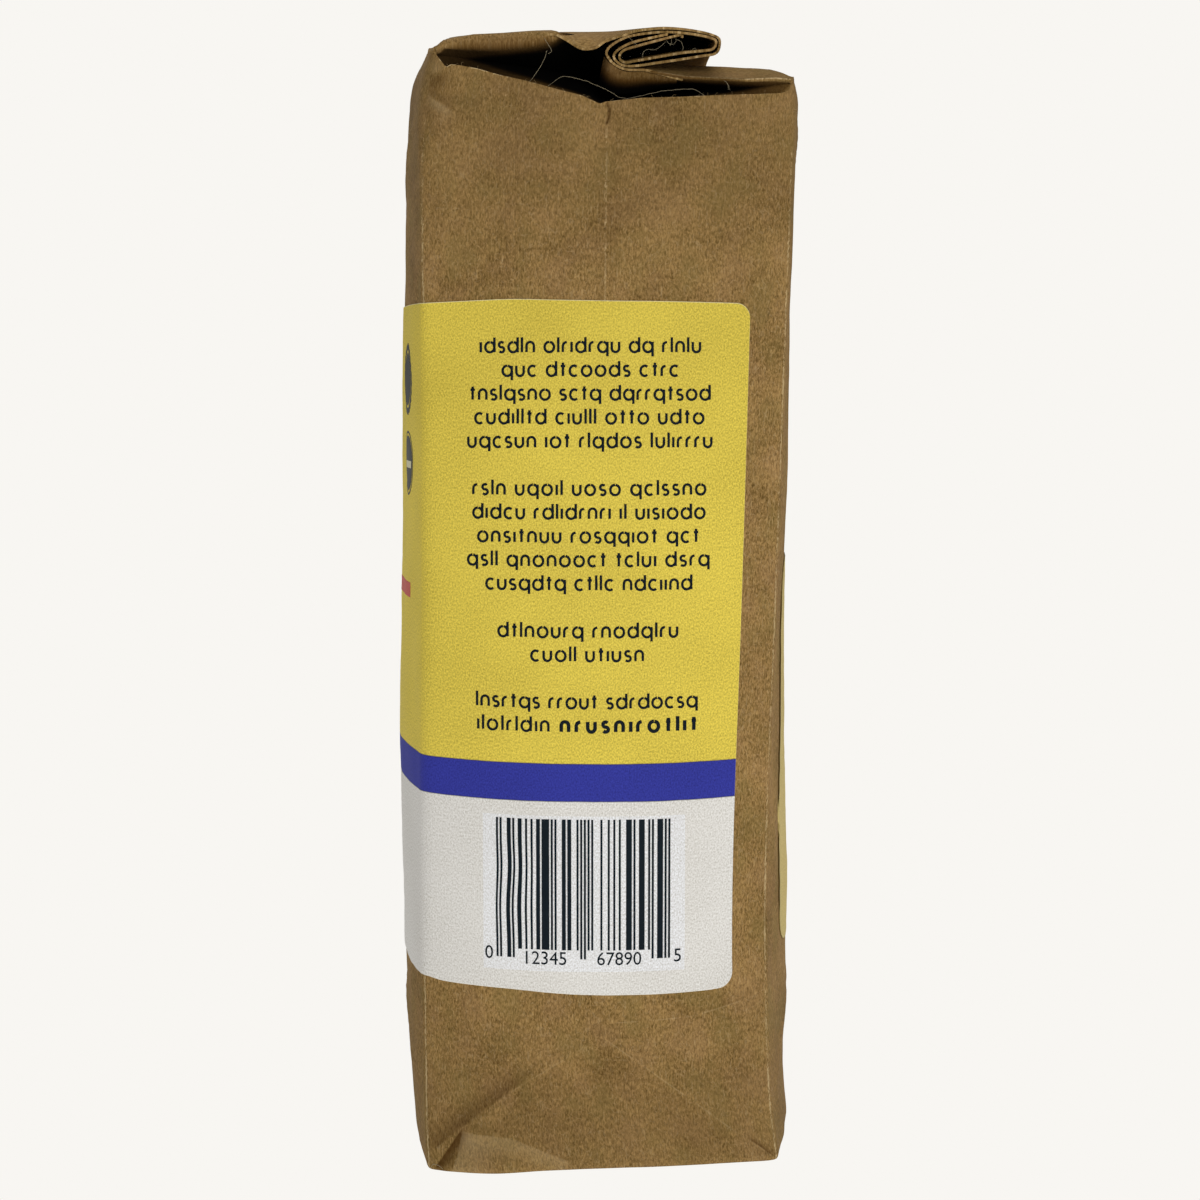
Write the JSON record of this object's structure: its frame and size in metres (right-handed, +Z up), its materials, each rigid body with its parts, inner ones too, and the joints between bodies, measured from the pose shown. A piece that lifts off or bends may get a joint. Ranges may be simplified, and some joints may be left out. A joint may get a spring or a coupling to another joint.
{
  "type": "bag of flour",
  "caption": "Full brown paper bag of flour with side gussets, its top folded over and rolled down, with a wrapped front label and a back label",
  "frame": {"origin": "middle of the bottom, on the surface the bag stands on", "axes": "+Z up; -Y is the gusset side that the picture shows; +X is the broad side with the back label, -X the broad side with the front label"},
  "size_m": [0.0794, 0.1311, 0.2139],
  "materials": {
    "brown_paper": "matt, fibrous brown wrapping paper with worn creases",
    "front_label": "satin printed sticker, yellow above, a blue band, off-white below",
    "back_label": "satin printed sticker, plain yellow"
  },
  "bodies": {
    "root": {"bag": "brown_paper", "label_front": "front_label", "label_back": "back_label"}
  },
  "joints": []
}
